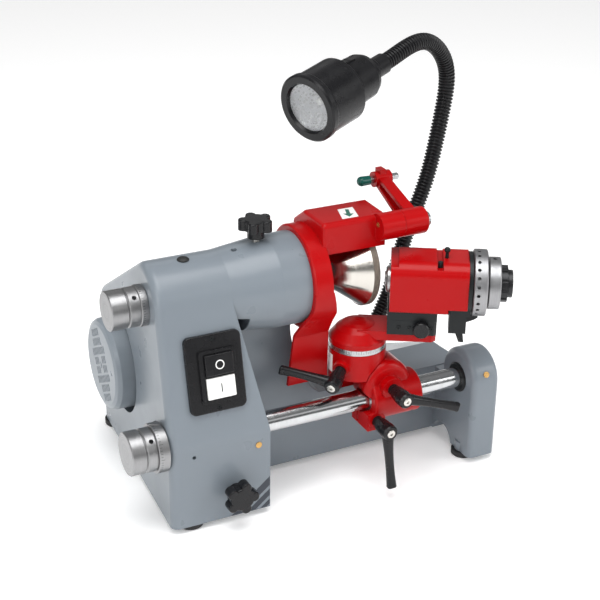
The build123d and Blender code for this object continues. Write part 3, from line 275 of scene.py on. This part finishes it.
def glass_look():
    """Clear lamp glass with faint moulded ripples."""
    look = Look("lamp_glass", (0.96, 0.97, 0.98), 0.07)
    look.shader.inputs["Transmission Weight"].default_value = 1.0
    look.shader.inputs["IOR"].default_value = 1.45
    look.wear(look.noise(90.0), 0.03)
    look.bump(look.lathe(lamp_lens, lamp_axis, 260.0), 0.12, 0.0008)
    return look.material


def reflector_look():
    """Bright reflector hammered into small facets."""
    look = Look("reflector", (0.92, 0.92, 0.92), 0.30, metallic=0.35)
    facets = look.add("ShaderNodeTexVoronoi", Scale=260.0)
    look.join(look.place, facets, "Vector")
    look.mottle(facets.outputs["Distance"], (0.75, 0.76, 0.78), 0.6)
    look.wear(facets.outputs["Distance"], 0.06)
    look.bump(facets.outputs["Distance"], 0.25, 0.0012)
    return look.material


abrasive = abrasive_look()
glass = glass_look()
reflector = reflector_look()

node_looks = {
    grey_paint: ("bed_casting",),
    motor_paint: ("motor_shell",),
    red_paint: ("wheel_guard", "dresser_arm", "carriage", "swivel_base", "swivel_arm", "work_head"),
    black_plastic: ("switch_housing", "stop_button", "tilt_lever", "bar_lever", "swivel_lever",
                    "top_star_knob", "front_star_knob", "slide_knob"),
    lamp_plastic: ("lamp_head", "lamp_bezel", "lamp_rocker"),
    rubber: ("rubber_feet", "mains_cord", "drive_belt"),
    green_plastic: ("dresser_cap",),
    white_plastic: ("start_button",),
    upper_aluminium: ("upper_dial", "spindle_pulley"),
    lower_aluminium: ("lower_dial", "dial_seats"),
    head_aluminium: ("stop_ring", "index_ring"),
    head_steel: ("work_spindle", "collet"),
    head_black: ("draw_bar",),
    spindle_steel: ("wheel_spindle", "quill", "spindle_bearings"),
    cone_steel: ("wheel_body",),
    bar_chrome: ("guide_bar",),
    motor_steel: ("motor_rotor", "motor_stator"),
    ground_steel: ("bottom_cover", "feed_yoke", "pivot_bolts", "angle_scale", "slide_sleeve",
                   "dresser_pivot", "dresser_pin", "lamp_socket"),
    black_steel: ("lower_slide", "upper_slide", "wheel_nut", "index_bracket", "index_lever",
                  "head_clamp_pins", "bar_bushes"),
    brass: ("ball_oilers",),
    abrasive: ("abrasive_rim",),
    glass: ("lamp_glass",),
    reflector: ("lamp_reflector",),
}
for material, names in node_looks.items():
    for name in names:
        nodes[name].data.materials.clear()
        nodes[name].data.materials.append(material)


# ---- mesh helpers -------------------------------------------------------------------------------
def piece(name, vertices, faces, material, body, slot, smooth=False):
    """Make a mesh from millimetre vertices, ride it on a body and give it a finish."""
    mesh = bpy.data.meshes.new(name)
    mesh.from_pydata([tuple(c * MM for c in v) for v in vertices], [], faces)
    shape = bmesh.new()
    shape.from_mesh(mesh)
    bmesh.ops.recalc_face_normals(shape, faces=shape.faces)
    shape.to_mesh(mesh)
    shape.free()
    if smooth:
        mesh.shade_smooth()
        mesh.set_sharp_from_angle(angle=radians(35))
    mesh.materials.append(material)
    made = bpy.data.objects.new(name, mesh)
    bpy.context.scene.collection.objects.link(made)
    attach(made, body)
    return made


def turned(outline, matrix, steps=48):
    """Vertices and faces of an outline of (distance, radius) points turned about the local z axis."""
    vertices, faces = [], []
    for distance, radius in outline:
        for step in range(steps):
            angle = 2 * pi * step / steps
            vertices.append(matrix @ Vector((radius * cos(angle), radius * sin(angle), distance)))
    for row in range(len(outline) - 1):
        for step in range(steps):
            after = (step + 1) % steps
            faces.append((row * steps + step, row * steps + after,
                          (row + 1) * steps + after, (row + 1) * steps + step))
    if outline[0][1] > 0:
        faces.append(tuple(range(steps - 1, -1, -1)))
    if outline[-1][1] > 0:
        faces.append(tuple(range((len(outline) - 1) * steps, len(outline) * steps)))
    return vertices, faces


def prism(outline, low, high, matrix):
    """Vertices and faces of a flat outline given thickness along the local z axis."""
    count = len(outline)
    vertices = [matrix @ Vector((x, y, z)) for z in (low, high) for x, y in outline]
    faces = [tuple(range(count - 1, -1, -1)), tuple(range(count, 2 * count))]
    faces += [(i, (i + 1) % count, count + (i + 1) % count, count + i) for i in range(count)]
    return vertices, faces


def joined(shapes):
    """Several (vertices, faces) shapes as one."""
    vertices, faces = [], []
    for some_vertices, some_faces in shapes:
        offset = len(vertices)
        vertices += list(some_vertices)
        faces += [tuple(index + offset for index in face) for face in some_faces]
    return vertices, faces


def polygon(radius, sides, start=0.0):
    return [(radius * cos(start + 2 * pi * i / sides), radius * sin(start + 2 * pi * i / sides))
            for i in range(sides)]


def rectangle(width, depth, x=0.0, y=0.0):
    half_x, half_y = width / 2, depth / 2
    corners = ((-1, -1), (1, -1), (1, 1), (-1, 1))
    return [(x + half_x * side, y + half_y * level) for side, level in corners]


def ring_marks(matrix, radius, start, lengths, angles, width, height):
    """Raised lines parallel to the local z axis round a cylinder."""
    marks = []
    for length, angle in zip(lengths, angles):
        out = matrix.to_3x3() @ Vector((cos(angle), sin(angle), 0))
        line = matrix.to_3x3() @ UP
        base = matrix @ Vector((radius * cos(angle), radius * sin(angle), start))
        marks.append(prism(rectangle(length, width, length / 2), -0.05, height, placed(base, line, out)))
    return joined(marks)


# ---- gooseneck ----------------------------------------------------------------------------------
neck_points = [Vector(p) for p in ((105.0, -18.0, 113.05), (134.8, -6.0, 172.2), (167.8, 7.4, 251.2),
                                   (201.6, 21.0, 315.5), (214.5, 26.2, 353.2), (226.5, 31.0, 402.3),
                                   (229.5, 32.2, 452.1), (187.0, 15.0, 497.0))]
neck_points.append(lamp_back + lamp_axis * 3)


def curve_through(points, first, last):
    """Sample a smooth curve through points with given end directions, evenly along its length."""
    knots = np.concatenate(([0.0], np.cumsum([(b - a).length for a, b in zip(points, points[1:])])))
    values = np.array(points)
    count = len(points)
    system = np.zeros((count, count))
    right = np.zeros((count, 3))
    gaps = np.diff(knots)
    system[0, 0] = system[-1, -1] = 1.0
    right[0], right[-1] = first, last
    for i in range(1, count - 1):
        system[i, i - 1:i + 2] = (gaps[i], 2 * (gaps[i - 1] + gaps[i]), gaps[i - 1])
        right[i] = 3 * (gaps[i] * (values[i] - values[i - 1]) / gaps[i - 1]
                        + gaps[i - 1] * (values[i + 1] - values[i]) / gaps[i])
    slopes = np.linalg.solve(system, right)
    samples = []
    for i in range(count - 1):
        for t in np.linspace(0, 1, 60, endpoint=False):
            h00, h10 = 2 * t**3 - 3 * t**2 + 1, t**3 - 2 * t**2 + t
            h01, h11 = -2 * t**3 + 3 * t**2, t**3 - t**2
            samples.append(h00 * values[i] + h10 * gaps[i] * slopes[i]
                           + h01 * values[i + 1] + h11 * gaps[i] * slopes[i + 1])
    samples.append(values[-1])
    samples = np.array(samples)
    lengths = np.concatenate(([0.0], np.cumsum(np.linalg.norm(np.diff(samples, axis=0), axis=1))))
    return samples, lengths


def ribbed_hose(pitch=4.3, high=10.3, low=8.5):
    """Corrugated hose round the neck's centre line."""
    samples, lengths = curve_through(neck_points, (0, 0, 1), tuple(-lamp_axis))
    ribs = int(lengths[-1] / pitch)
    profile = ((0.0, low), (0.22, low), (0.38, high - 0.25), (0.5, high), (0.72, high), (0.84, high - 0.25))
    rib_length = lengths[-1] / ribs
    stations = [((rib + part) * rib_length, radius) for rib in range(ribs) for part, radius in profile]
    stations.append((lengths[-1], low))
    steps = 32
    side = Vector((0, 1, 0))
    vertices, faces = [], []

    def point_at(distance):
        return Vector([np.interp(distance, lengths, samples[:, i]) for i in range(3)])

    for distance, radius in stations:
        centre = point_at(distance)
        tangent = (point_at(distance + 1) - point_at(distance - 1)).normalized()
        side = (side - tangent * side.dot(tangent)).normalized()
        other = tangent.cross(side)
        for step in range(steps):
            angle = 2 * pi * step / steps
            vertices.append(centre + (side * cos(angle) + other * sin(angle)) * radius)
    for row in range(len(stations) - 1):
        for step in range(steps):
            after = (step + 1) % steps
            faces.append((row * steps + step, row * steps + after,
                          (row + 1) * steps + after, (row + 1) * steps + step))
    faces.append(tuple(range(steps)))
    faces.append(tuple(range((len(stations) - 1) * steps, len(stations) * steps)))
    return vertices, faces


hose = piece("ribbed_hose", *ribbed_hose(), lamp_plastic, "lamp_neck", "black_plastic", smooth=True)
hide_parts("lamp_neck")
ball = [(-neck_ball_radius, 0.0)]
ball += [(-neck_ball_radius * cos(pi * i / 12), neck_ball_radius * sin(pi * i / 12)) for i in range(1, 10)]
ball_stem = [(7.2, 3.5), (11.5, 3.5)]
ball_frame = placed(lamp_back - lamp_axis * neck_ball_radius, UP, lamp_axis)
piece("neck_ball", *turned(ball + ball_stem, ball_frame), ground_steel, "lamp_neck", "ground_steel",
      smooth=True)

# ---- lamp details -------------------------------------------------------------------------------
lens_frame = placed(lamp_lens, UP, lamp_axis)
capsule = [(46, 4.0), (34, 5.0), (24, 5.0), (18, 3.6), (15.5, 0.0)]
piece("lamp_capsule", *turned(capsule, lens_frame, 24), white_plastic, "lamp_head", "white_plastic",
      smooth=True)

# ---- dial and ring graduations ------------------------------------------------------------------
ink = moulded("dial_ink", (0.02, 0.02, 0.022), 0.5)
mark_width, mark_height = 0.35, 0.06


def graduations(name, matrix, radius, start, count, body, long_every=5, short=2.6, long=4.4):
    """Evenly spaced lines round a ring, every few of them longer."""
    angles = [2 * pi * i / count for i in range(count)]
    lengths = [long if i % long_every == 0 else short for i in range(count)]
    marks = ring_marks(matrix, radius, start, lengths, angles, mark_width, mark_height)
    piece(name, *marks, ink, body, "black_plastic")


def x_line(x, y, z):
    """Local frame whose z runs along +X."""
    return placed((x, y, z), (0, 1, 0), (1, 0, 0))


upper_dial_frame = x_line(upper_dial_x, spindle_y, spindle_z)
lower_dial_frame = x_line(lower_dial_x, bar_y, bar_z)
swivel_frame = placed((swivel_x, swivel_y, swivel_top_z), (1, 0, 0), UP)
index_frame = on_head(index_ring_u, 0, spindle_z, along)
graduations("upper_dial_marks", upper_dial_frame, upper_dial_radius, 1.6, 50, "base")
graduations("lower_dial_marks", lower_dial_frame, lower_dial_radius, 1.6, 50, "base")
graduations("swivel_marks", swivel_frame, swivel_radius, 2.4, 72, "swivel_base", 2)
graduations("index_marks", index_frame, index_ring_radius, 10.5, 72, "work_spindle", 3, 2.0, 3.6)

# ---- switch symbols and screws ------------------------------------------------------------------
face_normal = Vector((0, -cos(lean), sin(lean)))
face_up = Vector((0, sin(lean), cos(lean)))
switch_centre = Vector((switch_x, front_y, lean_start_z)) + face_up * switch_rise


def on_switch(x, v, height):
    """Local frame on the switch: x to the right, v up the column's face, height out of the face."""
    place = switch_centre + Vector((x, 0, 0)) + face_up * v + face_normal * height
    return placed(place, (1, 0, 0), face_normal)


def flat_ring(inner, outer, low, high, matrix, steps=40):
    """Flat washer shape: four circles, each joined to the next and the last to the first."""
    outline = [(low, inner), (low, outer), (high, outer), (high, inner)]
    vertices = []
    for distance, radius in outline:
        vertices += [matrix @ Vector((x, y, distance)) for x, y in polygon(radius, steps)]
    faces = []
    for row in range(4):
        here, there = row * steps, (row + 1) % 4 * steps
        faces += [(here + step, here + (step + 1) % steps, there + (step + 1) % steps, there + step)
                  for step in range(steps)]
    return vertices, faces


symbol_sunk, symbol_raised = -0.05, 0.15
piece("stop_symbol", *flat_ring(4.2, 5.4, symbol_sunk, symbol_raised, on_switch(button_x, 10.6, 11.5)),
      white_plastic, "stop_button", "white_plastic")
start_bar = rectangle(1.3, 10)
piece("start_symbol", *prism(start_bar, symbol_sunk, symbol_raised, on_switch(button_x, -16.4, 10.5)),
      ink, "start_button", "black_plastic")


def socket_screw(matrix, radius, height):
    """Cap screw head with a hexagon socket, as one closed shape."""
    steps = 36
    steps_per_side = steps // 6
    hexagon = polygon(radius * 0.46, 6)
    outline = [(0.0, radius), (height * 0.75, radius), (height, radius * 0.86)]
    vertices, faces = turned(outline, matrix, steps)
    faces = faces[:-1]
    rim = 2 * steps
    inner = len(vertices)
    vertices += [matrix @ Vector((x, y, height)) for x, y in hexagon]
    vertices += [matrix @ Vector((x, y, height * 0.15)) for x, y in hexagon]
    for side in range(6):
        after = (side + 1) % 6
        arc = [rim + (side * steps_per_side + k) % steps for k in range(steps_per_side + 1)]
        faces.append((*arc, inner + after, inner + side))
        faces.append((inner + side, inner + after, inner + 6 + after, inner + 6 + side))
    faces.append(tuple(inner + 6 + side for side in range(6)))
    return vertices, faces


for place, v in (("lower", -39.5), ("upper", 39.5)):
    piece(f"switch_screw_{place}", *socket_screw(on_switch(0, v, 3.5), 2.9, 1.3), black_steel, "base",
          "black_steel", smooth=True)

# ---- screws in the clamp levers -----------------------------------------------------------------
nickel = ground("nickel", (0.66, 0.64, 0.60), 0.25)
lever_out = Vector((-0.712, -0.669, -0.214)).normalized()
lever_seats = {
    "tilt_lever": (Vector((70, front_lever_y, 126.5)), Vector((0, -1, 0))),
    "bar_lever": (Vector((50, front_lever_y, 88)), Vector((0, -1, 0))),
    "swivel_lever": (Vector((24, -106, 156)) + lever_out * swivel_lever_boss, lever_out),
}
for name, (seat, outward) in lever_seats.items():
    screw_frame = placed(seat + outward * lever_screw_height, UP, outward)
    piece(f"{name}_screw", *socket_screw(screw_frame, 5.0, 1.6), nickel, name, "ground_steel", smooth=True)

# ---- plates, labels and stripes -----------------------------------------------------------------
label_white = moulded("label_white", (0.80, 0.80, 0.78), 0.34)
label_green = moulded("label_green", (0.02, 0.13, 0.09), 0.4)
stripe_ink = moulded("stripe_ink", (0.018, 0.024, 0.036), 0.35)

label_x, label_y = 37.0, -78.0
label_frame = placed((label_x, label_y, hood_top_z), (1, 0, 0), UP)
label_outline = [(-6.5, 14.3), (13.4, 14.3), (6.3, -14.2), (-14.8, -14.2)]
piece("arrow_label", *prism(label_outline, -0.02, 0.12, label_frame), label_white, "base",
      "white_plastic")
arrow = [(-11, -2.2), (2, -2.2), (2, -6.2), (12, 0), (2, 6.2), (2, 2.2), (-11, 2.2)]
arrow_frame = placed((label_x, label_y, hood_top_z + 0.1), (-0.35, -1, 0), UP)
piece("arrow_mark", *prism(arrow, 0.0, 0.08, arrow_frame), label_green, "base", "black_plastic")


def curved_plate(centre, radius, low_angle, high_angle, low, high, thickness, steps=10):
    """Thin plate wrapped on a vertical cylinder."""
    vertices, faces = [], []
    for i in range(steps + 1):
        angle = radians(low_angle + (high_angle - low_angle) * i / steps)
        for reach in (radius - 0.05, radius + thickness):
            for z in (low, high):
                vertices.append((centre[0] + reach * cos(angle), centre[1] + reach * sin(angle), z))
    for i in range(steps):
        a, b = 4 * i, 4 * (i + 1)
        faces += [(a, b, b + 1, a + 1), (a + 2, a + 3, b + 3, b + 2), (a, a + 2, b + 2, b),
                  (a + 1, b + 1, b + 3, a + 3)]
    faces += [(0, 1, 3, 2), (4 * steps, 4 * steps + 2, 4 * steps + 3, 4 * steps + 1)]
    return vertices, faces


tilt_plate = curved_plate((swivel_x, swivel_y), swivel_radius + 0.5, 167, 185, 142, 165, 0.35)
piece("tilt_plate", *tilt_plate, label_white, "swivel_base", "white_plastic", smooth=True)

front_frame = placed((0, front_y, 0), (1, 0, 0), (0, -1, 0))
stripe_end_x = -92.6
stripe_edges = ((50, 38, -128, -142), (33, 24, -111, -122), (19, 12, -96.6, -105))
stripes = []
for top, bottom, right, left in stripe_edges:
    outline = [(stripe_end_x, top), (stripe_end_x, bottom), (right, column_foot_z), (left, column_foot_z)]
    stripes.append(prism(outline, -0.02, 0.1, front_frame))
piece("column_stripes", *joined(stripes), stripe_ink, "base", "black_plastic")

# Painted shade: a dark rubber disc behind the motor's end cover, so the vents look dark like the shaded
# motor inside
vent_shade_disc = [(0.0, motor_shade_disc_radius), (0.8, motor_shade_disc_radius)]
piece("vent_shade_disc", *turned(vent_shade_disc, x_line(motor_shade_disc_x, motor_y, motor_z)), rubber, "base", "rubber")

# ---- small parts on the column and the guard ----------------------------------------------------
plug = [(0.0, 7.0), (1.0, 6.9), (2.4, 5.4), (3.2, 3.0), (3.5, 0.0)]
plug_frame = placed((-163, -64, 305.6), (1, 0, 0), UP)
piece("hole_plug", *turned(plug, plug_frame), rubber, "base", "rubber", smooth=True)
stud_frame = placed((-72, spindle_y, 306.1), (1, 0, 0), UP)
stud = [(0.0, 4.0), (0.0, 4.4), (9.5, 4.4), (9.5, 4.0)]
piece("top_knob_stud", *turned(stud, stud_frame), nickel, "top_star_knob", "ground_steel", smooth=True)
boss_screw = placed((62.0, -105.0, 325.0), UP, (-1, 0, 0))
piece("guard_screw", *socket_screw(boss_screw, 3.2, 0.6), brass, "base", "brass", smooth=True)
gib_v, gib_z = -28, 209
for index, u in enumerate((48, 60, 86), start=1):
    piece(f"gib_screw_{index}", *socket_screw(on_head(u, gib_v, gib_z, -across), 2.4, 1.0), black_steel,
          "swivel_arm", "black_steel", smooth=True)

# ---- stage --------------------------------------------------------------------------------------
floor_mesh = bpy.data.meshes.new("floor")
floor_mesh.from_pydata([(x, y, 0) for x, y in rectangle(12, 12)], [], [(0, 1, 2, 3)])
floor = bpy.data.objects.new("floor", floor_mesh)
bpy.context.scene.collection.objects.link(floor)
floor_look = Look("floor", (0.95, 0.95, 0.95), 0.8)
floor_look.shader.inputs["Emission Color"].default_value = (1, 1, 1, 1)
floor_look.shader.inputs["Emission Strength"].default_value = 0.16
floor_mesh.materials.append(floor_look.material)


def studio_world():
    """White surroundings, with darker walls and two bright bands in what shiny surfaces reflect."""
    world = bpy.data.worlds.new("studio")
    world.use_nodes = True
    tree = world.node_tree
    link = tree.links.new
    fill = tree.nodes["Background"]
    fill.inputs["Color"].default_value = (1, 1, 1, 1)
    fill.inputs["Strength"].default_value = 0.62
    direction = tree.nodes.new("ShaderNodeTexCoord")
    height = tree.nodes.new("ShaderNodeSeparateXYZ")
    link(direction.outputs["Generated"], height.inputs["Vector"])
    bands = tree.nodes.new("ShaderNodeValToRGB")
    stops = ((0.0, 0.16), (0.30, 0.10), (0.42, 0.75), (0.52, 0.75), (0.62, 0.12), (0.90, 0.30))
    ramp = bands.color_ramp
    for position, value in stops[2:]:
        ramp.elements.new(position)
    for element, (position, value) in zip(ramp.elements, stops):
        element.position = position
        element.color = (value, value, value, 1)
    link(height.outputs["Z"], bands.inputs["Fac"])
    mirrored = tree.nodes.new("ShaderNodeBackground")
    link(bands.outputs["Color"], mirrored.inputs["Color"])
    ray = tree.nodes.new("ShaderNodeLightPath")
    mix = tree.nodes.new("ShaderNodeMixShader")
    link(ray.outputs["Is Glossy Ray"], mix.inputs["Fac"])
    link(fill.outputs["Background"], mix.inputs[1])
    link(mirrored.outputs["Background"], mix.inputs[2])
    link(mix.outputs["Shader"], tree.nodes["World Output"].inputs["Surface"])
    bpy.context.scene.world = world


studio_world()


def soft_box(name, place, target, width, height, power):
    """Rectangular area light at a place in metres, aimed at a target."""
    light = bpy.data.lights.new(name, "AREA")
    light.shape = "RECTANGLE"
    light.size, light.size_y = width, height
    light.energy = power
    lamp = bpy.data.objects.new(name, light)
    lamp.location = place
    lamp.rotation_mode = "QUATERNION"
    lamp.rotation_quaternion = (Vector(target) - Vector(place)).to_track_quat("-Z", "Y")
    bpy.context.scene.collection.objects.link(lamp)


soft_box("overhead", (-0.2, -0.5, 2.2), (0, 0, 0.15), 1.6, 1.6, 40)
soft_box("left_box", (-2.0, -1.2, 1.2), (0, 0, 0.2), 0.9, 1.8, 20)
soft_box("right_box", (1.7, -1.7, 0.9), (0, 0, 0.2), 0.7, 1.6, 16)

bpy.context.scene.view_settings.view_transform = "Standard"

# ---- camera -------------------------------------------------------------------------------------
azimuth, elevation, roll = radians(-26.6), radians(25.4), radians(0.9)
aim = Vector((-46.8, -124.8, 259.4)) * MM
distance = 1.5778
back = Vector((sin(azimuth) * cos(elevation), -cos(azimuth) * cos(elevation), sin(elevation)))
level = Vector((cos(azimuth), sin(azimuth), 0))
rise = back.cross(level)
right = level * cos(roll) + rise * sin(roll)
above = rise * cos(roll) - level * sin(roll)
camera_data = bpy.data.cameras.new("camera")
camera_data.lens, camera_data.sensor_width = 84.0, 36.0
camera = bpy.data.objects.new("camera", camera_data)
rows = [(right[i], above[i], back[i], (aim + back * distance)[i]) for i in range(3)]
camera.matrix_world = Matrix((*rows, (0, 0, 0, 1)))
bpy.context.scene.collection.objects.link(camera)
bpy.context.scene.camera = camera
